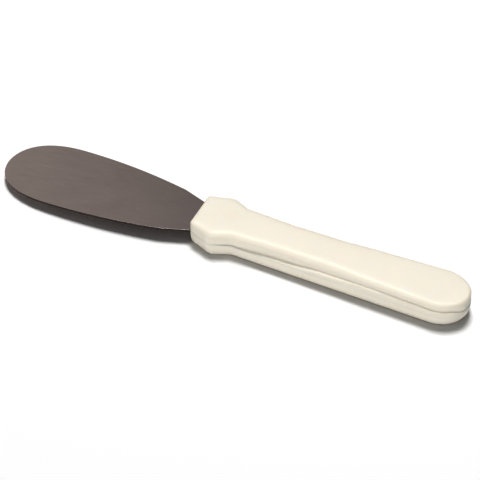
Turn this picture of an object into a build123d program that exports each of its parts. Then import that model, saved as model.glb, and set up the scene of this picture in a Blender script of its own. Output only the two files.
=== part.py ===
"""Hand tool for folding and smoothing card: a thin steel blade in a moulded handle.

Millimetres. X runs along the tool, with the blade's tip at -X and the butt of the
handle at +X. Z is up, the underside of the handle rests on z = 0, and the origin is
under the middle of the tool.
"""
from build123d import *
import os

# Whole tool
LENGTH = 197.0
TIP_X = -LENGTH / 2
BUTT_X = LENGTH / 2

# Handle, seen from above (half widths at the mid-height seam)
HANDLE_HEIGHT = 11.0
SEAM_Z = HANDLE_HEIGHT / 2
FRONT_X = -12.5
FRONT_HALF_WIDTH = 8.4
HEAD_START_X = -4.0
HEAD_END_X = -1.7
HEAD_HALF_WIDTH = 11.7
NECK_X = 5.4
NECK_HALF_WIDTH = 9.0
BUTT_DEPTH = 12.2
BUTT_HALF_WIDTH = 10.75
FRONT_CORNER_RADIUS = 1.4
HEAD_CORNER_RADIUS = 1.6
NECK_RADIUS = 6.0

# Handle, seen from the end
DRAFT_HEIGHT = 4.6
DRAFT_INSET = 0.35
TOP_EDGE_RADIUS = 1.9
BOTTOM_EDGE_RADIUS = 2.2
SEAM_CHAMFER = 0.12

# Blade: distances are measured back from the tip
BLADE_THICKNESS = 0.8
TIP_PULL = (4.0, 23.8)
WIDEST_FROM_TIP = 26.0
WIDEST_HALF_WIDTH = 16.85
TAPER_PULL = (24.0, 7.5)
TAPER_SLOPE = 0.174
TAPER_END_FROM_TIP = 74.0
TAPER_END_HALF_WIDTH = 12.15
ROOT_FROM_TIP = 85.6
ROOT_HALF_WIDTH = 8.2
TIP_DROP = 2.6
EDGE_BREAK = 0.1
SHORTEST_BROKEN_EDGE = 5.0

# Blade root and tang, hidden in the handle
SHOULDER_X = -4.5
TANG_HALF_WIDTH = 5.0
TANG_END_X = 64.0
SHOULDER_RADIUS = 1.5

# Pins through the tang
PIN_POSITIONS = {"front_tang_pin": 4.0, "middle_tang_pin": 31.0, "rear_tang_pin": 57.0}
PIN_RADIUS = 1.5
PIN_LENGTH = 6.6
PIN_END_CHAMFER = 0.25

# Clearances
PIN_HOLE_CLEARANCE = 0.1
PIN_BORE_CLEARANCE = 0.01
BORE_END_CLEARANCE = 0.1
POCKET_SIDE_CLEARANCE = 0.1
POCKET_FACE_CLEARANCE = 0.01


def both_sides(points):
    """Return the points on the +Y side followed by their mirror images, in order round."""
    return points + [(x, -y) for x, y in reversed(points)]


def corners_at(sketch, x):
    """Pick the corners of a sketch that lie at one distance along the tool."""
    return sketch.vertices().filter_by(lambda v: abs(v.X - x) < 0.01)


def handle_outline():
    """Outline at the seam: a six-sided head, a neck, and a body that widens to the butt."""
    butt_start_x = BUTT_X - BUTT_DEPTH
    side = [
        (butt_start_x, BUTT_HALF_WIDTH),
        (NECK_X, NECK_HALF_WIDTH),
        (HEAD_END_X, HEAD_HALF_WIDTH),
        (HEAD_START_X, HEAD_HALF_WIDTH),
        (FRONT_X, FRONT_HALF_WIDTH),
    ]
    sides_and_front = Polyline(*both_sides(side))
    butt = EllipticalCenterArc(
        (butt_start_x, 0), BUTT_DEPTH, BUTT_HALF_WIDTH, start_angle=-90, arc_size=180
    )
    outline = make_face(sides_and_front.edges() + butt.edges())
    outline = fillet(corners_at(outline, FRONT_X), FRONT_CORNER_RADIUS)
    for x in (HEAD_START_X, HEAD_END_X):
        outline = fillet(corners_at(outline, x), HEAD_CORNER_RADIUS)
    return fillet(corners_at(outline, NECK_X), NECK_RADIUS)


def outer_rim(block):
    """Edges round the face furthest from the seam."""
    return block.faces().sort_by(Axis.Z)[-1].edges()


def handle_block(edge_radius):
    """One solid half, seam face down on z = 0, with draft and a rounded outer rim."""
    block = extrude(handle_outline(), amount=SEAM_Z)
    block = chamfer(outer_rim(block), DRAFT_HEIGHT, DRAFT_INSET)
    block = fillet(outer_rim(block), edge_radius)
    seam_rim = block.faces().sort_by(Axis.Z)[0].edges()
    return chamfer(seam_rim, SEAM_CHAMFER)


def tang_side(extra):
    """Corners of the hidden root, shoulder and tang on the +Y side, grown by a clearance."""
    shoulder_x = SHOULDER_X + extra
    return [
        (TANG_END_X - TANG_HALF_WIDTH, TANG_HALF_WIDTH + extra),
        (shoulder_x, TANG_HALF_WIDTH + extra),
        (shoulder_x, ROOT_HALF_WIDTH + extra),
        (TIP_X + ROOT_FROM_TIP, ROOT_HALF_WIDTH + extra),
    ]


def tang_end(extra):
    """Round end of the tang, grown by a clearance."""
    return CenterArc((TANG_END_X - TANG_HALF_WIDTH, 0), TANG_HALF_WIDTH + extra, -90, 180)


def tang_outline(extra):
    """Blade root, shoulders and tang from above, closed off where the blade comes out."""
    sides = Polyline(*both_sides(tang_side(extra)))
    return make_face(sides.edges() + tang_end(extra).edges())


def blade_side():
    """Exposed edge on the +Y side: a full round tip, then a long taper to the handle."""
    widest_x = TIP_X + WIDEST_FROM_TIP
    taper_end_x = TIP_X + TAPER_END_FROM_TIP
    tip = Bezier(
        (TIP_X, 0),
        (TIP_X, TIP_PULL[0]),
        (widest_x - TIP_PULL[1], WIDEST_HALF_WIDTH),
        (widest_x, WIDEST_HALF_WIDTH),
    )
    taper = Bezier(
        (widest_x, WIDEST_HALF_WIDTH),
        (widest_x + TAPER_PULL[0], WIDEST_HALF_WIDTH),
        (taper_end_x - TAPER_PULL[1], TAPER_END_HALF_WIDTH + TAPER_SLOPE * TAPER_PULL[1]),
        (taper_end_x, TAPER_END_HALF_WIDTH),
    )
    run_in = Line((taper_end_x, TAPER_END_HALF_WIDTH), (TIP_X + ROOT_FROM_TIP, ROOT_HALF_WIDTH))
    return tip.edges() + taper.edges() + run_in.edges()


def blade_outline():
    """Whole sheet from above: exposed blade, hidden root, shoulders and tang."""
    far_side = blade_side() + Polyline(*tang_side(0)).edges()
    near_side = [edge.mirror(Plane.XZ) for edge in far_side]
    return make_face(far_side + near_side + tang_end(0).edges())


def sheet_profile():
    """Side view of the sheet: level through the handle, then dipping gently to the tip."""
    half = BLADE_THICKNESS / 2
    tip_z = SEAM_Z - TIP_DROP
    centre_line = [(TIP_X, tip_z), (FRONT_X, SEAM_Z), (TANG_END_X, SEAM_Z)]
    upper = [(x, z + half) for x, z in centre_line]
    lower = [(x, z - half) for x, z in reversed(centre_line)]
    return Plane.XZ * make_face(Polyline(*upper, *lower, close=True).edges())


def pin_blanks(radius, length, z):
    """Upright cylinders at every pin position, centred on z."""
    return [Pos(x, 0, z) * Cylinder(radius, length) for x in PIN_POSITIONS.values()]


def exposed_edges(sheet):
    """Long edges that run round the blade outside the handle."""
    return sheet.edges().filter_by(
        lambda edge: edge.center().X < FRONT_X and edge.length > SHORTEST_BROKEN_EDGE
    )


def blade():
    """Blade and tang in one sheet, drilled for the pins, with the exposed edge broken."""
    bent_sheet = extrude(sheet_profile(), amount=LENGTH / 2, both=True)
    sheet = extrude(blade_outline(), amount=HANDLE_HEIGHT) & bent_sheet
    sheet = chamfer(exposed_edges(sheet), EDGE_BREAK)
    for hole in pin_blanks(PIN_RADIUS + PIN_HOLE_CLEARANCE, HANDLE_HEIGHT, SEAM_Z):
        sheet -= hole
    return sheet


def tang_pocket():
    """Space that the blade root and tang take up between the two halves."""
    thickness = BLADE_THICKNESS + 2 * POCKET_FACE_CLEARANCE
    plan = Pos(0, 0, SEAM_Z) * tang_outline(POCKET_SIDE_CLEARANCE)
    return extrude(plan, amount=thickness / 2, both=True)


def hollow_out(half):
    """Cut the tang pocket and the blind pin bores out of one half."""
    bore_length = PIN_LENGTH + 2 * BORE_END_CLEARANCE
    half -= tang_pocket()
    for bore in pin_blanks(PIN_RADIUS + PIN_BORE_CLEARANCE, bore_length, SEAM_Z):
        half -= bore
    return half


def upper_handle_half():
    """Half above the seam."""
    return hollow_out(Pos(0, 0, SEAM_Z) * handle_block(TOP_EDGE_RADIUS))


def lower_handle_half():
    """Half below the seam, which carries the flat the tool rests on."""
    block = handle_block(BOTTOM_EDGE_RADIUS).mirror(Plane.XY)
    return hollow_out(Pos(0, 0, SEAM_Z) * block)


def tang_pin(x):
    """One steel pin that locks the tang between the halves."""
    pin = Pos(x, 0, SEAM_Z) * Cylinder(PIN_RADIUS, PIN_LENGTH)
    return chamfer(pin.edges().filter_by(GeomType.CIRCLE), PIN_END_CHAMFER)


def pieces():
    """Every piece by node name."""
    named = {
        "blade": blade(),
        "upper_handle_half": upper_handle_half(),
        "lower_handle_half": lower_handle_half(),
    }
    for name, x in PIN_POSITIONS.items():
        named[name] = tang_pin(x)
    return named


def main():
    """Write one STEP file per piece."""
    os.makedirs("parts", exist_ok=True)
    for name, piece in pieces().items():
        export_step(piece, f"parts/{name}.step")


main()
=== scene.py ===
"""Folding and creasing tool: a thin round-ended steel blade held in a moulded cream handle.

Everything is in metres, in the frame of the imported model: +X runs from the blade's tip to the butt of the
handle, +Y across the tool and +Z up, with the handle resting on z = 0.
"""

import logging
import math
from dataclasses import dataclass, field
from enum import Enum
from typing import Any

import bmesh
import bpy
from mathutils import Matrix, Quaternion, Vector


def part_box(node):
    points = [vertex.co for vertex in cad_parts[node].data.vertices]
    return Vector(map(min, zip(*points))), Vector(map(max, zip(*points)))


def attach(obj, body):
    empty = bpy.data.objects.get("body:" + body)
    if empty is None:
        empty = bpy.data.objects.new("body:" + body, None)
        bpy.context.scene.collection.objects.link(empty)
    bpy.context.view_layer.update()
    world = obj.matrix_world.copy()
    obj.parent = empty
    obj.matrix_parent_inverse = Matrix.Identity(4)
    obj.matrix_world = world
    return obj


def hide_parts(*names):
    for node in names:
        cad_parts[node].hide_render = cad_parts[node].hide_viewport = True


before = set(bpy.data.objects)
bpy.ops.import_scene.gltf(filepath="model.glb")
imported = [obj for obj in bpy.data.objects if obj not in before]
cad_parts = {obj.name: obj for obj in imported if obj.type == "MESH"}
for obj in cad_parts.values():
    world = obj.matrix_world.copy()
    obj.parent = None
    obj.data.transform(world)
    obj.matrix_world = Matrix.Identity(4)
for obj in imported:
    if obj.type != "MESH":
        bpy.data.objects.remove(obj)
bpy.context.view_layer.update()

LOG = logging.getLogger("folding_tool")
MM = 0.001
BODY = "root"
CREASE_ANGLE = 32.0


# ---------------------------------------------------------------------------------------------
# Node trees
# ---------------------------------------------------------------------------------------------


class Wire:
    """One output socket that takes part in arithmetic: each operator adds a Math node."""

    def __init__(self, bench: "Bench", socket: bpy.types.NodeSocket) -> None:
        """Hold a socket together with the bench that its tree is built on.

        Args:
            bench: The builder of the tree that the socket is in.
            socket: An output socket that gives a number, unless it is only linked on.
        """
        self.bench = bench
        self.socket = socket

    def _math(self, operation: str, *values: Any) -> "Wire":
        """Add a Math node.

        Args:
            operation: The Math node's operation.
            values: Its operands, each a number or a Wire.

        Returns:
            The result.
        """
        node = self.bench.add("ShaderNodeMath", {"operation": operation}, dict(enumerate(values)))
        return self.bench.out(node)

    def __add__(self, other: Any) -> "Wire":
        """Sum."""
        return self._math("ADD", self, other)

    def __radd__(self, other: Any) -> "Wire":
        """Sum with the number first."""
        return self._math("ADD", other, self)

    def __sub__(self, other: Any) -> "Wire":
        """Difference."""
        return self._math("SUBTRACT", self, other)

    def __rsub__(self, other: Any) -> "Wire":
        """Difference with the number first."""
        return self._math("SUBTRACT", other, self)

    def __mul__(self, other: Any) -> "Wire":
        """Product."""
        return self._math("MULTIPLY", self, other)

    def __rmul__(self, other: Any) -> "Wire":
        """Product with the number first."""
        return self._math("MULTIPLY", other, self)

    def __truediv__(self, other: Any) -> "Wire":
        """Quotient."""
        return self._math("DIVIDE", self, other)

    def __rtruediv__(self, other: Any) -> "Wire":
        """Quotient with the number first."""
        return self._math("DIVIDE", other, self)

    def __pow__(self, other: Any) -> "Wire":
        """Power."""
        return self._math("POWER", self, other)

    def lowest(self, other: Any) -> "Wire":
        """Smaller of two values."""
        return self._math("MINIMUM", self, other)

    def highest(self, other: Any) -> "Wire":
        """Larger of two values."""
        return self._math("MAXIMUM", self, other)

    def limited(self) -> "Wire":
        """Value held between 0 and 1."""
        return self.highest(0.0).lowest(1.0)

    def sine(self) -> "Wire":
        """Sine of an angle in radians."""
        return self._math("SINE", self)

    def cosine(self) -> "Wire":
        """Cosine of an angle in radians."""
        return self._math("COSINE", self)

    def size(self) -> "Wire":
        """Value without its sign."""
        return self._math("ABSOLUTE", self)

    def above(self, limit: Any) -> "Wire":
        """1 where the value is over the limit, and 0 elsewhere."""
        return self._math("GREATER_THAN", self, limit)

    def eased(self) -> "Wire":
        """Value from 0 to 1 that starts and ends gently."""
        held = self.limited()
        return held * held * (3.0 - 2.0 * held)


class Bench:
    """Builds one node tree."""

    def __init__(self, tree: bpy.types.NodeTree) -> None:
        """Start on a tree.

        Args:
            tree: The tree that nodes are added to.
        """
        self.tree = tree

    def add(self, kind: str, settings: dict[str, Any], sockets: dict[Any, Any]) -> bpy.types.Node:
        """Add any node.

        Args:
            kind: The node's type.
            settings: Its properties.
            sockets: Its inputs by name or number, each a plain value, a Wire or a list of Wires.

        Returns:
            The new node.
        """
        node = self.tree.nodes.new(kind)
        for name, value in settings.items():
            setattr(node, name, value)
        for key, value in sockets.items():
            if isinstance(value, (list, Wire)):
                for wire in value if isinstance(value, list) else [value]:
                    self.tree.links.new(wire.socket, node.inputs[key])
            else:
                node.inputs[key].default_value = value
        return node

    def out(self, node: bpy.types.Node, name: Any = 0) -> Wire:
        """Output of a node, by name or number."""
        return Wire(self, node.outputs[name])

    def make(self, kind: str, settings: dict[str, Any], sockets: dict[Any, Any], name: Any = 0) -> Wire:
        """Add a node and give back one of its outputs.

        Args:
            kind: The node's type.
            settings: Its properties.
            sockets: Its inputs.
            name: The output wanted.

        Returns:
            That output.
        """
        return self.out(self.add(kind, settings, sockets), name)


class FinishBench(Bench):
    """Builds a material, with the patterns that the finishes share."""

    def __init__(self, name: str) -> None:
        """Start an empty material.

        Args:
            name: The material's name.
        """
        self.material = bpy.data.materials.new(name)
        self.material.use_nodes = True
        super().__init__(self.material.node_tree)
        self.tree.nodes.clear()
        self.place = self.make("ShaderNodeTexCoord", {}, {}, "Object")

    def spot(
        self, centre: tuple[float, float, float], turn: float, scale: tuple[float, float, float]
    ) -> Wire:
        """Object coordinates moved, turned about Z and stretched.

        Args:
            centre: The point that becomes the origin.
            turn: Angle about Z in radians.
            scale: Stretch along each axis.

        Returns:
            The coordinates.
        """
        moved = self.make(
            "ShaderNodeMapping",
            {"vector_type": "TEXTURE"},
            {"Vector": self.place, "Location": centre, "Rotation": (0.0, 0.0, turn)},
        )
        return self.make("ShaderNodeVectorMath", {"operation": "MULTIPLY"}, {0: moved, 1: scale})

    def noise(self, at: Wire, scale: float, detail: float = 2.0, roughness: float = 0.5) -> Wire:
        """Soft cloud pattern about 0.5.

        Args:
            at: Coordinates.
            scale: Features per metre.
            detail: Number of finer layers.
            roughness: Strength of the finer layers.

        Returns:
            The pattern's value.
        """
        values = {"Vector": at, "Scale": scale, "Detail": detail, "Roughness": roughness}
        return self.make("ShaderNodeTexNoise", {"noise_dimensions": "3D"}, values, "Fac")

    def near(self, centre: tuple[float, float, float], reach: float) -> Wire:
        """1 at a point, easing to 0 at a distance.

        Args:
            centre: The point, in the piece's coordinates.
            reach: The distance where it fades out.

        Returns:
            The mask.
        """
        ends = {0: self.place, 1: centre}
        gap = self.make("ShaderNodeVectorMath", {"operation": "DISTANCE"}, ends, "Value")
        return (1.0 - gap / reach).eased()

    def part(self, vector: Wire, axis: str) -> Wire:
        """One part of a vector."""
        return self.make("ShaderNodeSeparateXYZ", {}, {0: vector}, axis)

    def stored(self, name: str) -> Wire:
        """Value kept on the piece's own points."""
        return self.make("ShaderNodeAttribute", {"attribute_name": name}, {}, "Fac")

    def blend(self, mask: Any, low: Any, high: Any) -> Wire:
        """Mix two colours.

        Args:
            mask: Share of the second colour.
            low: First colour, an RGBA tuple or a Wire.
            high: Second colour.

        Returns:
            The mixed colour.
        """
        node = self.add("ShaderNodeMix", {"data_type": "RGBA"}, {0: mask, 6: low, 7: high})
        return self.out(node, 2)

    def relief(self, height: Wire, depth: float, strength: float = 1.0) -> Wire:
        """Normal for a height pattern.

        Args:
            height: The pattern.
            depth: Height in metres of a full step of the pattern.
            strength: Share of the effect.

        Returns:
            The normal.
        """
        sockets = {"Strength": strength, "Distance": depth, "Height": height}
        return self.make("ShaderNodeBump", {}, sockets, "Normal")

    def close(self, sockets: dict[str, Any]) -> bpy.types.Material:
        """Add the surface shader and the output.

        Args:
            sockets: Inputs of the surface shader.

        Returns:
            The finished material.
        """
        shader = self.make("ShaderNodeBsdfPrincipled", {}, sockets, "BSDF")
        self.add("ShaderNodeOutputMaterial", {}, {"Surface": shader})
        return self.material


# ---------------------------------------------------------------------------------------------
# Finishes
# ---------------------------------------------------------------------------------------------


def rgba(red: float, green: float, blue: float) -> tuple[float, float, float, float]:
    """Opaque linear colour."""
    return (red, green, blue, 1.0)


@dataclass(frozen=True)
class CreamPlastic:
    """Smooth moulded cream plastic, polished a little where the hand rubs it."""

    body: tuple = rgba(0.71, 0.68, 0.615)
    aged: tuple = rgba(0.695, 0.66, 0.59)
    stain: tuple = rgba(0.68, 0.62, 0.53)
    roughness: float = 0.5
    stain_place: tuple = (1.0 * MM, 1.5 * MM, 11.0 * MM)
    stain_reach: float = 5.5 * MM

    def make(self) -> bpy.types.Material:
        """Build the material.

        Returns:
            The material.
        """
        bench = FinishBench("cream_moulded_plastic")
        clouds = bench.noise(bench.place, 38.0, 3.0)
        flow = bench.noise(bench.spot((0, 0, 0), 0.0, (1.0, 5.0, 5.0)), 60.0, 4.0, 0.6)
        orange_peel = bench.noise(bench.place, 700.0, 3.0, 0.55)
        rubbed = bench.stored("edge").limited()
        # A darker, warmer patch on the top face at the neck, fading out over its reach.
        stain = bench.near(self.stain_place, self.stain_reach) * 0.35
        tone = bench.blend((clouds * 0.7 + flow * 0.5 - 0.2).limited(), self.body, self.aged)
        colour = bench.blend(stain, tone, self.stain)
        rough = self.roughness + (clouds - 0.5) * 0.12 + (flow - 0.5) * 0.08 - rubbed * 0.06
        return bench.close(
            {
                "Base Color": colour,
                "Roughness": rough,
                "Normal": bench.relief(orange_peel, 0.012 * MM),
                "IOR": 1.5,
                "Subsurface Weight": 0.5,
                "Subsurface Radius": (1.0, 0.8, 0.6),
                "Subsurface Scale": 1.2 * MM,
            }
        )


@dataclass(frozen=True)
class SatinSteel:
    """Satin stainless sheet with faint brushing and clouding; a painted reflection pales the tip and darkens
    the root, the rim has a faint painted highlight and the cut edge is painted shade.
    """

    tip_tone: tuple = rgba(0.93, 0.81, 0.755)
    root_tone: tuple = rgba(0.43, 0.375, 0.36)
    bright: tuple = rgba(0.70, 0.64, 0.60)
    dull: tuple = rgba(0.10, 0.085, 0.08)
    roughness: float = 0.25
    tip_x: float = -98.5 * MM
    root_x: float = -12.0 * MM

    def make(self) -> bpy.types.Material:
        """Build the material.

        Returns:
            The material.
        """
        bench = FinishBench("satin_stainless_steel")
        brushed = bench.noise(bench.spot((0, 0, 0), 0.06, (25.0, 900.0, 60.0)), 6.0, 5.0, 0.65)
        clouds = bench.noise(bench.spot((0, 0, 0), 0.4, (1.0, 1.8, 1.0)), 55.0, 4.0, 0.6)
        grain = bench.noise(bench.place, 2600.0, 2.0)
        edge = bench.stored("edge").limited()
        # Painted reflection: the tone runs from pale at the tip to dark at the root, as the light reflected
        # along the sheet would.
        along = bench.part(bench.place, "X")
        share = (along - self.tip_x) / (self.root_x - self.tip_x) + (clouds - 0.5) * 0.35
        tone = bench.blend(share.limited(), self.tip_tone, self.root_tone)
        tone = bench.blend((brushed - 0.42).limited() * 0.2, tone, self.bright)
        # Painted shade: faces that aren't level, the cut edge, take the dark tone in place of the shadowed
        # floor they reflect.
        lift = bench.part(bench.make("ShaderNodeNewGeometry", {}, {}, "Normal"), "Z")
        painted_edge_shade = ((0.9 - lift.size()) * 3.0).limited()
        # Painted highlight: the rim is mixed a little toward the bright tone.
        colour = bench.blend(painted_edge_shade, bench.blend(edge * 0.05, tone, self.bright), self.dull)
        rough = self.roughness + (brushed - 0.5) * 0.08 + (clouds - 0.5) * 0.06
        height = brushed * 0.7 + grain * 0.3
        return bench.close(
            {
                "Base Color": colour,
                "Metallic": 1.0,
                "Roughness": rough,
                "Normal": bench.relief(height, 0.004 * MM),
            }
        )


@dataclass(frozen=True)
class DrawnRod:
    """Plain drawn steel rod with faint lines along its length."""

    tone: tuple = rgba(0.50, 0.50, 0.51)
    dull: tuple = rgba(0.36, 0.36, 0.37)

    def make(self) -> bpy.types.Material:
        """Build the material.

        Returns:
            The material.
        """
        bench = FinishBench("drawn_steel_rod")
        lines = bench.noise(bench.spot((0, 0, 0), 0.0, (900.0, 900.0, 30.0)), 5.0, 4.0)
        return bench.close(
            {
                "Base Color": bench.blend(lines, self.dull, self.tone),
                "Metallic": 1.0,
                "Roughness": 0.28 + lines * 0.2,
                "Normal": bench.relief(lines, 0.004 * MM),
            }
        )


@dataclass(frozen=True)
class SweepPaper:
    """White background paper."""

    tone: tuple = rgba(0.93, 0.93, 0.93)

    def make(self) -> bpy.types.Material:
        """Build the material.

        Returns:
            The material.
        """
        bench = FinishBench("white_sweep_paper")
        fibre = bench.noise(bench.place, 400.0, 4.0, 0.6)
        return bench.close(
            {
                "Base Color": bench.blend(fibre * 0.04, self.tone, rgba(0.88, 0.88, 0.88)),
                "Roughness": 0.85 + fibre * 0.1,
                "Specular IOR Level": 0.2,
            }
        )


# ---------------------------------------------------------------------------------------------
# Plan outlines
# ---------------------------------------------------------------------------------------------


@dataclass(frozen=True)
class Corner:
    """Corner of an outline seen from above, and the radius that rounds it."""

    x: float
    y: float
    radius: float = 0.0


def straight(start: Vector, end: Vector, step: float) -> list[Vector]:
    """Divide a straight run.

    Args:
        start: First point.
        end: Last point.
        step: Greatest spacing.

    Returns:
        The points, both ends included.
    """
    count = max(1, math.ceil((end - start).length / step))
    return [start.lerp(end, i / count) for i in range(count + 1)]


def turned_corner(before: Vector, corner: Corner, after: Vector, step: float) -> list[Vector]:
    """Round a corner with an arc that is tangent to both runs.

    Args:
        before: A point on the run that comes in.
        corner: The corner.
        after: A point on the run that goes out.
        step: Greatest spacing of the points.

    Returns:
        Points along the arc, or the corner itself where it isn't rounded.
    """
    point = Vector((corner.x, corner.y))
    if corner.radius == 0.0:
        return [point]
    come, leave = (point - before).normalized(), (after - point).normalized()
    side = 1.0 if come.cross(leave) > 0 else -1.0
    turn = come.angle(leave)
    start = point - come * (corner.radius * math.tan(turn / 2))
    across = Vector((-come.y, come.x)) * side
    centre = start + across * corner.radius
    count = max(3, math.ceil(corner.radius * turn / step))
    points = []
    for i in range(count + 1):
        angle = turn * i / count
        side, ahead = corner.radius * math.cos(angle), corner.radius * math.sin(angle)
        points.append(centre - across * side + come * ahead)
    return points


def rounded_path(corners: list[Corner], step: float) -> list[Vector]:
    """Follow straight runs from corner to corner, rounding each corner that has a radius.

    Args:
        corners: The corners in order.
        step: Greatest spacing of the points.

    Returns:
        The points.
    """
    spots = [Vector((corner.x, corner.y)) for corner in corners]
    path = [spots[0]]
    for i in range(1, len(corners)):
        if i < len(corners) - 1:
            arc = turned_corner(spots[i - 1], corners[i], spots[i + 1], step)
        else:
            arc = [spots[i]]
        path += straight(path[-1], arc[0], step)[1:] + arc[1:]
    return path


def bezier(points: list[tuple[float, float]], count: int) -> list[Vector]:
    """Sample a cubic curve.

    Args:
        points: Its four control points.
        count: Number of spans.

    Returns:
        The points, both ends included.
    """
    a, b, c, d = (Vector(point) for point in points)
    curve = []
    for i in range(count + 1):
        t = i / count
        s = 1.0 - t
        curve.append(a * s**3 + b * (3 * s * s * t) + c * (3 * s * t * t) + d * t**3)
    return curve


def quarter_oval(centre_x: float, length: float, half_width: float, count: int) -> list[Vector]:
    """Quarter of an oval, from its side to its end on the X axis.

    Args:
        centre_x: Where the oval's centre is.
        length: Half length along X.
        half_width: Half width along Y.
        count: Number of spans.

    Returns:
        The points, both ends included.
    """
    angles = [math.pi / 2 * (1 - i / count) for i in range(count + 1)]
    return [Vector((centre_x + length * math.cos(a), half_width * math.sin(a))) for a in angles]


# ---------------------------------------------------------------------------------------------
# The rule that shapes the handle halves and the blade
# ---------------------------------------------------------------------------------------------


@dataclass(frozen=True)
class Section:
    """How the slab rises at one station of its outline.

    The wall leans in as it rises, like a quarter of an oval, and turns up again in a small hollow fillet. A
    second wall rises from the fillet to the rim, which is a quarter of a circle.
    """

    shoulder: float
    lean: float
    fillet: float
    rim: float


class Side(Enum):
    """Which side of the mid plane a moulded slab stands on."""

    UPPER = 1.0
    LOWER = -1.0
    BOTH = 0.0


@dataclass
class MouldedSlab:
    """Slab that rises from a plan outline: wall with draft, rounded rim, and a slightly crowned face.

    The outline is half of the plan, on the +Y side, from one end of the X axis to the other. Each of its
    points carries its own section. The nodes lay a grid over it, one way along the outline and the other way
    up the walls, over the rim and in to the middle of the face, then mirror it to the -Y side.
    """

    name: str
    outline: list[Vector]
    sections: list[Section]
    side: Side
    mid_z: float
    height: float
    groove: float
    crown: float
    spine: tuple[float, float]
    stations: int
    material: bpy.types.Material
    shoulder_rings: int = 9
    fillet_rings: int = 6
    wall_rings: int = 2
    rim_rings: int = 9
    face_rings: int = 7
    face_spread: float = 1.8
    dip: float = 0.0
    dip_start: float = 0.0
    dip_end: float = -1.0
    pocket: bpy.types.Object | None = None
    bore_points: bpy.types.Object | None = None
    bore_radius: float = 0.0
    bore_depth: float = 0.0
    _tree: bpy.types.NodeTree = field(init=False, default=None)

    def build(self) -> bpy.types.Object:
        """Make the finished piece.

        Returns:
            A plain mesh object at the origin.
        """
        guide = self._guide()
        bench, numbers = self._new_tree()
        shape = self._grid(bench, numbers)
        shape = self._both_halves_of_plan(bench, shape)
        if self.side is Side.BOTH:
            shape = self._two_faces(bench, shape)
        elif self.side is Side.LOWER:
            shape = self._turned_over(bench, shape)
        shape = self._dipped(bench, numbers, shape)
        lift = {"Geometry": shape, "Translation": (0.0, 0.0, self.mid_z)}
        shape = bench.make("GeometryNodeTransform", {}, lift)
        shape = self._cut_out(bench, numbers, shape)
        self._close(bench, numbers, shape)
        return self._realise(guide)

    def _guide(self) -> bpy.types.Object:
        """Chain of edges along the outline, with the numbers of its section on each point."""
        mesh = bpy.data.meshes.new(self.name)
        points = [(p.x, p.y, 0.0) for p in self.outline]
        mesh.from_pydata(points, [(i, i + 1) for i in range(len(points) - 1)], [])
        for name in Section.__dataclass_fields__:
            values = [getattr(section, name) for section in self.sections]
            mesh.attributes.new(name, "FLOAT", "POINT").data.foreach_set("value", values)
        guide = bpy.data.objects.new(self.name, mesh)
        bpy.context.scene.collection.objects.link(guide)
        return guide

    def _new_tree(self) -> tuple[Bench, dict[str, Wire]]:
        """Start the tree with its named inputs.

        Returns:
            The bench, and each input by name.
        """
        tree = bpy.data.node_groups.new(f"{self.name}_rule", "GeometryNodeTree")
        tree.interface.new_socket("Geometry", in_out="INPUT", socket_type="NodeSocketGeometry")
        for name in self._sizes():
            tree.interface.new_socket(name, in_out="INPUT", socket_type="NodeSocketFloat")
        tree.interface.new_socket("Finish", in_out="INPUT", socket_type="NodeSocketMaterial")
        tree.interface.new_socket("Geometry", in_out="OUTPUT", socket_type="NodeSocketGeometry")
        self._tree = tree
        bench = Bench(tree)
        entry = bench.add("NodeGroupInput", {}, {})
        names = ["Geometry", *self._sizes(), "Finish"]
        return bench, {name: bench.out(entry, name) for name in names}

    def _sizes(self) -> dict[str, float]:
        """Sizes that the tree takes as named inputs."""
        return {
            "Height": self.height,
            "Seam Groove": self.groove,
            "Crown": self.crown,
            "Spine Start": self.spine[0],
            "Spine End": self.spine[1],
            "Dip": self.dip,
            "Dip Start": self.dip_start,
            "Dip Length": self.dip_start - self.dip_end,
            "Bore Radius": self.bore_radius,
            "Bore Depth": self.bore_depth,
        }

    def _grid(self, bench: Bench, numbers: dict[str, Wire]) -> Wire:
        """Lay the grid over the +Y half of the slab.

        Args:
            bench: The tree's builder.
            numbers: The tree's inputs.

        Returns:
            The +Y half, rising from z = 0.
        """
        first = 1 if self.side is Side.BOTH else 0
        lower_rings = [1, 1, self.shoulder_rings, self.fillet_rings]
        counts = [*lower_rings, self.wall_rings, self.rim_rings, self.face_rings]
        last = sum(counts)
        grid = bench.make(
            "GeometryNodeMeshGrid",
            {},
            {"Size X": 1.0, "Size Y": 1.0, "Vertices X": self.stations, "Vertices Y": last - first + 1},
            "Mesh",
        )
        place = bench.add("ShaderNodeSeparateXYZ", {}, {0: bench.make("GeometryNodeInputPosition", {}, {})})
        along = bench.out(place, "X") + 0.5
        ring = (bench.out(place, "Y") + 0.5) * float(last - first) + float(first)
        curve = bench.make("GeometryNodeMeshToCurve", {}, {"Mesh": numbers["Geometry"]})
        section = {name: self._sampled(bench, curve, along, name) for name in Section.__dataclass_fields__}
        sample = bench.add("GeometryNodeSampleCurve", {"mode": "FACTOR"}, {"Curves": curve, "Factor": along})
        point = bench.add("ShaderNodeSeparateXYZ", {}, {0: bench.out(sample, "Position")})
        heading = bench.add("ShaderNodeSeparateXYZ", {}, {0: bench.out(sample, "Tangent")})
        x, y = bench.out(point, "X"), bench.out(point, "Y")

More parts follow.
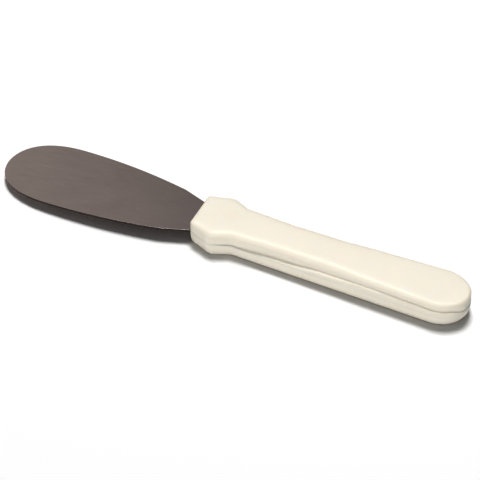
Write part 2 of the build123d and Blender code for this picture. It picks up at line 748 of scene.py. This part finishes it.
        # Each share runs from 0 to 1 over its own rings.
        starts = [sum(counts[:i]) for i in range(len(counts))]
        shares = [((ring - float(start)) / float(count)).limited() for start, count in zip(starts, counts)]
        base, groove, shoulder, fillet, wall, rim, face = shares
        shoulder_angle, fillet_angle, rim_angle = (share * (math.pi / 2) for share in (shoulder, fillet, rim))
        wall_rise = numbers["Height"] - section["shoulder"] - section["fillet"] - section["rim"]
        inset = (
            numbers["Seam Groove"] * (1.0 - groove)
            + section["lean"] * (1.0 - shoulder_angle.cosine())
            + section["fillet"] * fillet_angle.sine()
            + section["rim"] * (1.0 - rim_angle.cosine())
        )
        rise = (
            numbers["Seam Groove"] * groove
            + (section["shoulder"] - numbers["Seam Groove"]) * shoulder_angle.sine()
            + section["fillet"] * (1.0 - fillet_angle.cosine())
            + wall_rise * wall
            + section["rim"] * rim_angle.sine()
            + numbers["Crown"] * (1.0 - (1.0 - face) * (1.0 - face))
        )
        # The outline is followed from -X to +X, so its inner side is on the right of its heading.
        inner_x = x + bench.out(heading, "Y") * inset
        inner_y = (y - bench.out(heading, "X") * inset).highest(0.0)
        spine_x = x.highest(numbers["Spine Start"]).lowest(numbers["Spine End"])
        gather = (face ** self.face_spread).highest(1.0 - base)
        new_x = inner_x + (spine_x - inner_x) * gather
        new_y = inner_y * (1.0 - gather)
        position = bench.make("ShaderNodeCombineXYZ", {}, {"X": new_x, "Y": new_y, "Z": rise})
        shape = bench.make("GeometryNodeSetPosition", {}, {"Geometry": grid, "Position": position})
        return self._keep_edge_mask(bench, shape, rim, face)

    @staticmethod
    def _sampled(bench: Bench, curve: Wire, along: Wire, name: str) -> Wire:
        """Number kept on the outline's points, read at a share of the outline's length.

        Args:
            bench: The tree's builder.
            curve: The outline.
            along: Share of its length.
            name: The number's name.

        Returns:
            The number.
        """
        kept = bench.make("GeometryNodeInputNamedAttribute", {"data_type": "FLOAT"}, {"Name": name})
        return bench.make(
            "GeometryNodeSampleCurve",
            {"mode": "FACTOR", "data_type": "FLOAT"},
            {"Curves": curve, "Value": kept, "Factor": along},
            "Value",
        )

    def _keep_edge_mask(self, bench: Bench, shape: Wire, rim: Wire, face: Wire) -> Wire:
        """Store how close each point is to the rim, for the finish.

        Args:
            bench: The tree's builder.
            shape: The grid.
            rim: 0 to 1 over the rim.
            face: 0 to 1 from the rim to the middle of the face.

        Returns:
            The grid with its "edge" value.
        """
        edge = (rim * math.pi).sine() + (1.0 - face * 14.0).limited() * rim.above(0.999)
        return bench.make(
            "GeometryNodeStoreNamedAttribute",
            {"data_type": "FLOAT", "domain": "POINT"},
            {"Geometry": shape, "Name": "edge", "Value": edge.limited()},
        )

    def _mirrored(self, bench: Bench, shape: Wire, scale: tuple[float, float, float]) -> Wire:
        """Mirror image with its faces turned the right way again.

        Args:
            bench: The tree's builder.
            shape: What is mirrored.
            scale: -1 on the axis to mirror and 1 on the others.

        Returns:
            The mirror image.
        """
        image = bench.make("GeometryNodeTransform", {}, {"Geometry": shape, "Scale": scale})
        return bench.make("GeometryNodeFlipFaces", {}, {"Mesh": image})

    def _joined(self, bench: Bench, parts: list[Wire]) -> Wire:
        """Join parts and weld the points where they meet.

        Args:
            bench: The tree's builder.
            parts: The parts.

        Returns:
            One welded mesh.
        """
        both = bench.make("GeometryNodeJoinGeometry", {}, {"Geometry": parts})
        return bench.make("GeometryNodeMergeByDistance", {}, {"Geometry": both, "Distance": 0.002 * MM})

    def _both_halves_of_plan(self, bench: Bench, shape: Wire) -> Wire:
        """Add the -Y side."""
        return self._joined(bench, [shape, self._mirrored(bench, shape, (1.0, -1.0, 1.0))])

    def _two_faces(self, bench: Bench, shape: Wire) -> Wire:
        """Add the face below the mid plane."""
        return self._joined(bench, [shape, self._mirrored(bench, shape, (1.0, 1.0, -1.0))])

    def _turned_over(self, bench: Bench, shape: Wire) -> Wire:
        """Put the slab below the mid plane."""
        return self._mirrored(bench, shape, (1.0, 1.0, -1.0))

    def _dipped(self, bench: Bench, numbers: dict[str, Wire], shape: Wire) -> Wire:
        """Bend the slab gently down towards -X.

        Args:
            bench: The tree's builder.
            numbers: The tree's inputs.
            shape: The level slab.

        Returns:
            The bent slab, or the same one where there is no dip.
        """
        if self.dip == 0.0:
            return shape
        place = bench.add("ShaderNodeSeparateXYZ", {}, {0: bench.make("GeometryNodeInputPosition", {}, {})})
        share = ((numbers["Dip Start"] - bench.out(place, "X")) / numbers["Dip Length"]).highest(0.0)
        fall = 0.0 - numbers["Dip"] * (share * 0.45 + share * share * 0.55)
        offset = bench.make("ShaderNodeCombineXYZ", {}, {"X": 0.0, "Y": 0.0, "Z": fall})
        return bench.make("GeometryNodeSetPosition", {}, {"Geometry": shape, "Offset": offset})

    def _cut_out(self, bench: Bench, numbers: dict[str, Wire], shape: Wire) -> Wire:
        """Cut the tang pocket and the pin bores.

        Args:
            bench: The tree's builder.
            numbers: The tree's inputs.
            shape: The whole slab.

        Returns:
            The slab with what is cut out of it.
        """
        cutters = []
        if self.pocket is not None:
            cutters.append(self._object_shape(bench, self.pocket))
        if self.bore_points is not None:
            bore = bench.make(
                "GeometryNodeMeshCylinder",
                {},
                {"Vertices": 48, "Radius": numbers["Bore Radius"], "Depth": numbers["Bore Depth"]},
                "Mesh",
            )
            spots = self._object_shape(bench, self.bore_points)
            copies = bench.make("GeometryNodeInstanceOnPoints", {}, {"Points": spots, "Instance": bore})
            cutters.append(bench.make("GeometryNodeRealizeInstances", {}, {"Geometry": copies}))
        for cutter in cutters:
            shape = bench.make(
                "GeometryNodeMeshBoolean",
                {"operation": "DIFFERENCE", "solver": "EXACT"},
                {"Mesh 1": shape, "Mesh 2": cutter},
                "Mesh",
            )
        return shape

    @staticmethod
    def _object_shape(bench: Bench, thing: bpy.types.Object) -> Wire:
        """Mesh of another object."""
        return bench.make("GeometryNodeObjectInfo", {}, {"Object": thing}, "Geometry")

    def _close(self, bench: Bench, numbers: dict[str, Wire], shape: Wire) -> None:
        """Set the shading, make everything real and dress it.

        Args:
            bench: The tree's builder.
            numbers: The tree's inputs.
            shape: The shaped slab.
        """
        bend = bench.make("GeometryNodeInputMeshEdgeAngle", {}, {}, "Unsigned Angle")
        crease = bend.above(math.radians(CREASE_ANGLE))
        smooth = {"Geometry": shape, "Shade Smooth": True}
        shape = bench.make("GeometryNodeSetShadeSmooth", {"domain": "FACE"}, smooth)
        shape = bench.make(
            "GeometryNodeSetShadeSmooth",
            {"domain": "EDGE"},
            {"Geometry": shape, "Selection": crease, "Shade Smooth": False},
        )
        shape = bench.make("GeometryNodeRealizeInstances", {}, {"Geometry": shape})
        shape = bench.make("GeometryNodeSetMaterial", {}, {"Geometry": shape, "Material": numbers["Finish"]})
        bench.add("NodeGroupOutput", {}, {"Geometry": shape})

    def _realise(self, guide: bpy.types.Object) -> bpy.types.Object:
        """Run the tree and keep its result as a plain mesh.

        Args:
            guide: The outline's object.

        Returns:
            The same object with the finished mesh and no modifier.
        """
        modifier = guide.modifiers.new("rule", "NODES")
        modifier.node_group = self._tree
        values = {**self._sizes(), "Finish": self.material}
        for socket in self._tree.interface.items_tree:
            if socket.in_out == "INPUT" and socket.name in values:
                modifier[socket.identifier] = values[socket.name]
        graph = bpy.context.evaluated_depsgraph_get()
        mesh = bpy.data.meshes.new_from_object(
            guide.evaluated_get(graph), preserve_all_data_layers=True, depsgraph=graph
        )
        guide.modifiers.clear()
        guide.data = mesh
        face_outwards(mesh)
        return guide


def face_outwards(mesh: bpy.types.Mesh) -> None:
    """Turn the faces of a closed mesh outwards.

    Args:
        mesh: The mesh, changed in place.
    """
    work = bmesh.new()
    work.from_mesh(mesh)
    bmesh.ops.dissolve_degenerate(work, dist=1e-7, edges=work.edges)
    bmesh.ops.recalc_face_normals(work, faces=work.faces)
    work.to_mesh(mesh)
    work.free()


# ---------------------------------------------------------------------------------------------
# Sub-assemblies
# ---------------------------------------------------------------------------------------------

# Each table gives (place along the handle, size) in millimetres, and is read with an eased step between rows.
SHOULDERS = [(-3.0, 0.3), (14.0, 0.4), (27.0, 0.7), (44.0, 1.8), (61.0, 2.4), (94.0, 2.3), (98.5, 0.6)]
LEANS = [
    (-3.0, 0.05), (6.0, 0.3), (26.0, 0.8), (44.0, 0.9),
    (61.0, 0.6), (78.0, 0.45), (94.0, 0.35), (98.5, 0.1),
]
FILLETS = [
    (-3.0, 0.03), (6.0, 0.4), (20.0, 0.75), (44.0, 0.65),
    (61.0, 0.6), (78.0, 0.5), (94.0, 0.4), (98.5, 0.2),
]
UPPER_RIMS = [
    (-12.5, 1.4), (-5.0, 2.4), (14.0, 2.2), (27.0, 2.5),
    (44.0, 2.7), (61.0, 2.1), (78.0, 1.7), (98.5, 1.3),
]
LOWER_RIMS = [(-3.0, 0.4), (8.0, 1.3), (98.5, 1.6)]
LOWER_LEANS = [(-12.5, 0.9), (-3.0, 0.7), (8.0, 0.7), (98.5, 1.0)]


def between(x: float, table: list[tuple[float, float]]) -> float:
    """Read a size from a table.

    Args:
        x: The place in metres.
        table: Rows of (place, size) in millimetres with rising places.

    Returns:
        The size in metres.
    """
    place = x / MM
    if place <= table[0][0]:
        return table[0][1] * MM
    for (start, low), (end, high) in zip(table, table[1:]):
        if place <= end:
            share = (place - start) / (end - start)
            return (low + (high - low) * share * share * (3 - 2 * share)) * MM
    return table[-1][1] * MM



@dataclass
class TangSeat:
    """Hidden joint between blade and handle: the root, shoulders and tang, and the pins through it."""

    root_half: float = 8.2 * MM
    shoulder_x: float = -4.5 * MM
    shoulder_run: float = 1.9 * MM
    tang_half: float = 5.0 * MM
    side_gap: float = 0.1 * MM
    face_gap: float = 0.01 * MM
    pins: tuple[str, ...] = ("front_tang_pin", "middle_tang_pin", "rear_tang_pin")

    def pin_centres(self) -> list[Vector]:
        """Centre of each pin, from the model's frame."""
        return [(low + high) / 2 for low, high in (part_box(pin) for pin in self.pins)]

    def pin_size(self) -> tuple[float, float]:
        """Radius and length of a pin."""
        low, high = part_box(self.pins[0])
        return (high.x - low.x) / 2, high.z - low.z

    def bore_points(self) -> bpy.types.Object:
        """Loose points at the pins' centres.

        Returns:
            An object that is only used while cutting.
        """
        mesh = bpy.data.meshes.new("bore_points")
        mesh.from_pydata(self.pin_centres(), [], [])
        points = bpy.data.objects.new("bore_points", mesh)
        bpy.context.scene.collection.objects.link(points)
        return points

    def pocket(self, front_x: float, end_x: float, mid_z: float, thickness: float) -> bpy.types.Object:
        """Solid that is cut out of the handle halves to seat the tang.

        Args:
            front_x: Where the pocket starts, in front of the handle.
            end_x: Where the tang ends.
            mid_z: Height of the seam.
            thickness: Thickness of the sheet.

        Returns:
            An object that is only used while cutting.
        """
        root, tang = self.root_half + self.side_gap, self.tang_half + self.side_gap
        shoulder = self.shoulder_x + self.side_gap
        side = [(front_x, root), (shoulder, root), (shoulder, tang)]
        end = quarter_oval(end_x - self.tang_half, tang, tang, 16)
        far = [Vector(point) for point in side] + end
        ring = far + [Vector((p.x, -p.y)) for p in reversed(far[:-1])]
        work = bmesh.new()
        half = thickness / 2 + self.face_gap
        floor = work.faces.new([work.verts.new((p.x, p.y, mid_z - half)) for p in ring])
        grown = bmesh.ops.extrude_face_region(work, geom=[floor])
        lifted = [item for item in grown["geom"] if isinstance(item, bmesh.types.BMVert)]
        bmesh.ops.translate(work, verts=lifted, vec=(0.0, 0.0, 2 * half))
        bmesh.ops.recalc_face_normals(work, faces=work.faces)
        mesh = bpy.data.meshes.new("tang_pocket")
        work.to_mesh(mesh)
        work.free()
        pocket = bpy.data.objects.new("tang_pocket", mesh)
        bpy.context.scene.collection.objects.link(pocket)
        return pocket


@dataclass
class Blade:
    """Exposed blade, root and tang in one thin sheet."""

    finish: bpy.types.Material
    seat: TangSeat
    widest_from_tip: float = 26.0 * MM
    tip_pull: tuple[float, float] = (4.0 * MM, 23.8 * MM)
    taper_pull: tuple[float, float] = (24.0 * MM, 7.5 * MM)
    taper_slope: float = 0.174
    taper_end_from_tip: float = 74.0 * MM
    taper_end_half: float = 12.15 * MM
    root_from_tip: float = 85.6 * MM
    thickness: float = 0.8 * MM
    edge_radius: float = 0.07 * MM
    dip: float = 2.6 * MM

    def outline(self, tip_x: float, end_x: float, widest: float) -> list[Vector]:
        """+Y side of the sheet from the tip to the end of the tang.

        Args:
            tip_x: Where the tip is.
            end_x: Where the tang ends.
            widest: Half width at the widest place.

        Returns:
            The points.
        """
        seat = self.seat
        widest_x = tip_x + self.widest_from_tip
        taper_x = tip_x + self.taper_end_from_tip
        tip = [
            (tip_x, 0.0),
            (tip_x, self.tip_pull[0]),
            (widest_x - self.tip_pull[1], widest),
            (widest_x, widest),
        ]
        taper = [
            (widest_x, widest),
            (widest_x + self.taper_pull[0], widest),
            (taper_x - self.taper_pull[1], self.taper_end_half + self.taper_slope * self.taper_pull[1]),
            (taper_x, self.taper_end_half),
        ]
        inner = [
            Corner(taper_x, self.taper_end_half),
            Corner(tip_x + self.root_from_tip, seat.root_half, 3.0 * MM),
            Corner(seat.shoulder_x - seat.shoulder_run, seat.root_half, 0.5 * MM),
            Corner(seat.shoulder_x, seat.tang_half, 0.8 * MM),
            Corner(end_x - seat.tang_half, seat.tang_half),
        ]
        return (
            bezier(tip, 120)
            + bezier(taper, 60)[1:]
            + rounded_path(inner, 1.0 * MM)[1:]
            + quarter_oval(end_x - seat.tang_half, seat.tang_half, seat.tang_half, 24)[1:]
        )

    def build(self) -> bpy.types.Object:
        """Make the blade and put it in place of its plain solid.

        Returns:
            The finished piece.
        """
        low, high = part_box("blade")
        handle_low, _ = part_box("upper_handle_half")
        outline = self.outline(low.x, high.x, high.y)
        radius, length = self.seat.pin_size()
        points = self.seat.bore_points()
        piece = MouldedSlab(
            name="steel_blade",
            outline=outline,
            sections=[Section(0.05 * MM, 0.0, 0.0, self.edge_radius)] * len(outline),
            side=Side.BOTH,
            mid_z=high.z - self.thickness / 2,
            height=self.thickness / 2,
            groove=0.0,
            crown=0.0,
            spine=(low.x + 9.0 * MM, high.x - self.seat.tang_half),
            stations=700,
            material=self.finish,
            shoulder_rings=1,
            fillet_rings=1,
            wall_rings=1,
            rim_rings=4,
            face_rings=8,
            face_spread=2.4,
            dip=self.dip,
            dip_start=handle_low.x,
            dip_end=low.x,
            bore_points=points,
            bore_radius=radius + self.seat.side_gap,
            bore_depth=length,
        ).build()
        bpy.data.objects.remove(points)
        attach(piece, BODY)
        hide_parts("blade")
        return piece


@dataclass
class Handle:
    """Two moulded halves that meet at a fine seam half way up."""

    finish: bpy.types.Material
    seat: TangSeat
    front_half: float = 8.4 * MM
    head_start: tuple[float, float] = (-4.0 * MM, 11.6 * MM)
    head_end: tuple[float, float] = (-1.7 * MM, 11.9 * MM)
    neck: tuple[float, float] = (5.4 * MM, 9.35 * MM)
    butt_depth: float = 12.2 * MM
    butt_half: float = 10.75 * MM
    front_corner: float = 1.7 * MM
    head_corner: float = 2.0 * MM
    neck_corner: float = 6.0 * MM
    seam_groove: float = 0.006 * MM
    crown: float = 0.1 * MM

    def outline(self, front_x: float, butt_x: float) -> list[Vector]:
        """+Y side of the handle from the middle of its front to the middle of its butt.

        Args:
            front_x: Where the front is.
            butt_x: Where the butt ends.

        Returns:
            The points.
        """
        butt_start = butt_x - self.butt_depth
        corners = [
            Corner(front_x, 0.0),
            Corner(front_x, self.front_half, self.front_corner),
            Corner(*self.head_start, self.head_corner),
            Corner(*self.head_end, self.head_corner),
            Corner(*self.neck, self.neck_corner),
            Corner(butt_start, self.butt_half),
        ]
        side = rounded_path(corners, 0.4 * MM)
        return side + quarter_oval(butt_start, self.butt_depth, self.butt_half, 70)[1:]

    def section(self, x: float, side: Side, height: float) -> Section:
        """Section at one place along the handle.

        Args:
            x: The place.
            side: Which half.
            height: Height of the half.

        Returns:
            The section.
        """
        if side is Side.LOWER:
            rim, lean = between(x, LOWER_RIMS), between(x, LOWER_LEANS)
            return Section(height - rim, lean, 0.0, rim)
        return Section(*(between(x, table) for table in (SHOULDERS, LEANS, FILLETS, UPPER_RIMS)))

    def build(self, side: Side, node: str, name: str) -> bpy.types.Object:
        """Make one half and put it in place of its plain solid.

        Args:
            side: Which half.
            node: The solid that it stands for.
            name: The piece's name.

        Returns:
            The finished piece.
        """
        low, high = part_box(node)
        _, blade_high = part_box("blade")
        seam_z = low.z if side is Side.UPPER else high.z
        outline = self.outline(low.x, high.x)
        radius, length = self.seat.pin_size()
        sheet = 2 * (blade_high.z - seam_z)
        crown = self.crown if side is Side.UPPER else 0.0
        height = high.z - low.z - crown
        points = self.seat.bore_points()
        pocket = self.seat.pocket(low.x - 1.0 * MM, blade_high.x, seam_z, sheet)
        piece = MouldedSlab(
            name=name,
            outline=outline,
            sections=[self.section(p.x, side, height) for p in outline],
            side=side,
            mid_z=seam_z,
            height=height,
            groove=self.seam_groove,
            crown=crown,
            spine=(low.x + 8.0 * MM, high.x - 9.0 * MM),
            stations=460,
            material=self.finish,
            pocket=pocket,
            bore_points=points,
            bore_radius=radius + self.seat.face_gap,
            bore_depth=length + 2 * self.seat.side_gap,
        ).build()
        bpy.data.objects.remove(points)
        bpy.data.objects.remove(pocket)
        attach(piece, BODY)
        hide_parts(node)
        return piece


@dataclass
class TangPins:
    """Blind pins through the tang, which keep the shape of their solids."""

    finish: bpy.types.Material
    seat: TangSeat

    def dress(self) -> list[bpy.types.Object]:
        """Give every pin its finish.

        Returns:
            The pins.
        """
        pins = [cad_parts[name] for name in self.seat.pins]
        for pin in pins:
            pin.data.materials.clear()
            pin.data.materials.append(self.finish)
        return pins


@dataclass(frozen=True)
class Softbox:
    """Square soft light: azimuth 0 is on the -Y side and 90 on the +X side, in degrees."""

    name: str
    azimuth: float
    elevation: float
    reach: float
    size: float
    watts: float

    def hang(self) -> bpy.types.Object:
        """Place the light so that it points at the tool.

        Returns:
            The light.
        """
        data = bpy.data.lights.new(self.name, "AREA")
        data.shape = "SQUARE"
        data.size = self.size
        data.energy = self.watts
        away = direction_at(self.azimuth, self.elevation)
        lamp = bpy.data.objects.new(self.name, data)
        lamp.location = away * self.reach
        lamp.rotation_mode = "QUATERNION"
        lamp.rotation_quaternion = (-away).to_track_quat("-Z", "Y")
        bpy.context.scene.collection.objects.link(lamp)
        return lamp


def direction_at(azimuth: float, elevation: float) -> Vector:
    """Unit vector from the tool toward a place given by its azimuth and elevation in degrees."""
    turn, lift = math.radians(azimuth), math.radians(elevation)
    return Vector((math.sin(turn) * math.cos(lift), -math.cos(turn) * math.cos(lift), math.sin(lift)))


@dataclass
class Studio:
    """Camera, lights and the white sweep that the tool lies on."""

    paper: bpy.types.Material
    filled: list[bpy.types.Object]
    aim: tuple[float, float, float] = (7.19 * MM, -4.37 * MM, 5.5 * MM)
    azimuth: float = 25.55
    elevation: float = 44.27
    distance: float = 603.4 * MM
    lens: float = 118.07
    floor_half: float = 3.0
    roll: float = 0.25
    sky: float = 0.27
    contrast: float = 0.6
    key: Softbox = Softbox("key_softbox", 201.0, 71.0, 2.0, 0.6, 36.5)
    fill: Softbox = Softbox("front_softbox", 10.0, 20.0, 1.4, 1.0, 14.0)

    def camera(self) -> bpy.types.Object:
        """Place the camera.

        Returns:
            The camera.
        """
        back = direction_at(self.azimuth, self.elevation)
        data = bpy.data.cameras.new("camera")
        data.lens = self.lens
        data.sensor_width = 36.0
        data.clip_start, data.clip_end = 0.02, 20.0
        camera = bpy.data.objects.new("camera", data)
        camera.location = Vector(self.aim) + back * self.distance
        camera.rotation_mode = "QUATERNION"
        level = (-back).to_track_quat("-Z", "Y")
        camera.rotation_quaternion = level @ Quaternion((0.0, 0.0, 1.0), -math.radians(self.roll))
        bpy.context.scene.collection.objects.link(camera)
        bpy.context.scene.camera = camera
        return camera

    def floor(self) -> bpy.types.Object:
        """Lay the sweep.

        Returns:
            The floor.
        """
        half = self.floor_half
        mesh = bpy.data.meshes.new("white_floor")
        corners = [(-half, -half, 0), (half, -half, 0), (half, half, 0), (-half, half, 0)]
        mesh.from_pydata(corners, [], [(0, 1, 2, 3)])
        mesh.materials.append(self.paper)
        floor = bpy.data.objects.new("white_floor", mesh)
        bpy.context.scene.collection.objects.link(floor)
        return floor

    def surroundings(self) -> None:
        """Even pale light from all round."""
        world = bpy.data.worlds.new("studio_air")
        world.use_nodes = True
        bench = Bench(world.node_tree)
        bench.tree.nodes.clear()
        air = bench.make("ShaderNodeBackground", {}, {"Color": rgba(1.0, 1.0, 1.0), "Strength": self.sky})
        bench.add("ShaderNodeOutputWorld", {}, {"Surface": air})
        bpy.context.scene.world = world

    def build(self) -> None:
        """Set up everything round the tool. The front softbox is flagged off all but the handle."""
        view = bpy.context.scene.view_settings
        view.view_transform = "Standard"
        view.gamma = self.contrast
        self.camera()
        self.floor()
        self.surroundings()
        self.key.hang()
        flagged = bpy.data.collections.new("front_softbox_reach")
        for piece in self.filled:
            flagged.objects.link(piece)
        self.fill.hang().light_linking.receiver_collection = flagged


def main() -> None:
    """Build the tool and its studio."""
    logging.basicConfig(level=logging.INFO, format="%(message)s")
    seat = TangSeat()
    handle = Handle(CreamPlastic().make(), seat)
    halves = [
        handle.build(Side.UPPER, "upper_handle_half", "upper_grip_half"),
        handle.build(Side.LOWER, "lower_handle_half", "lower_grip_half"),
    ]
    pieces = [
        Blade(SatinSteel().make(), seat).build(),
        *halves,
        *TangPins(DrawnRod().make(), seat).dress(),
    ]
    Studio(SweepPaper().make(), halves).build()
    for piece in pieces:
        LOG.info("%s: %d faces", piece.name, len(piece.data.polygons))


if __name__ == "__main__":
    main()
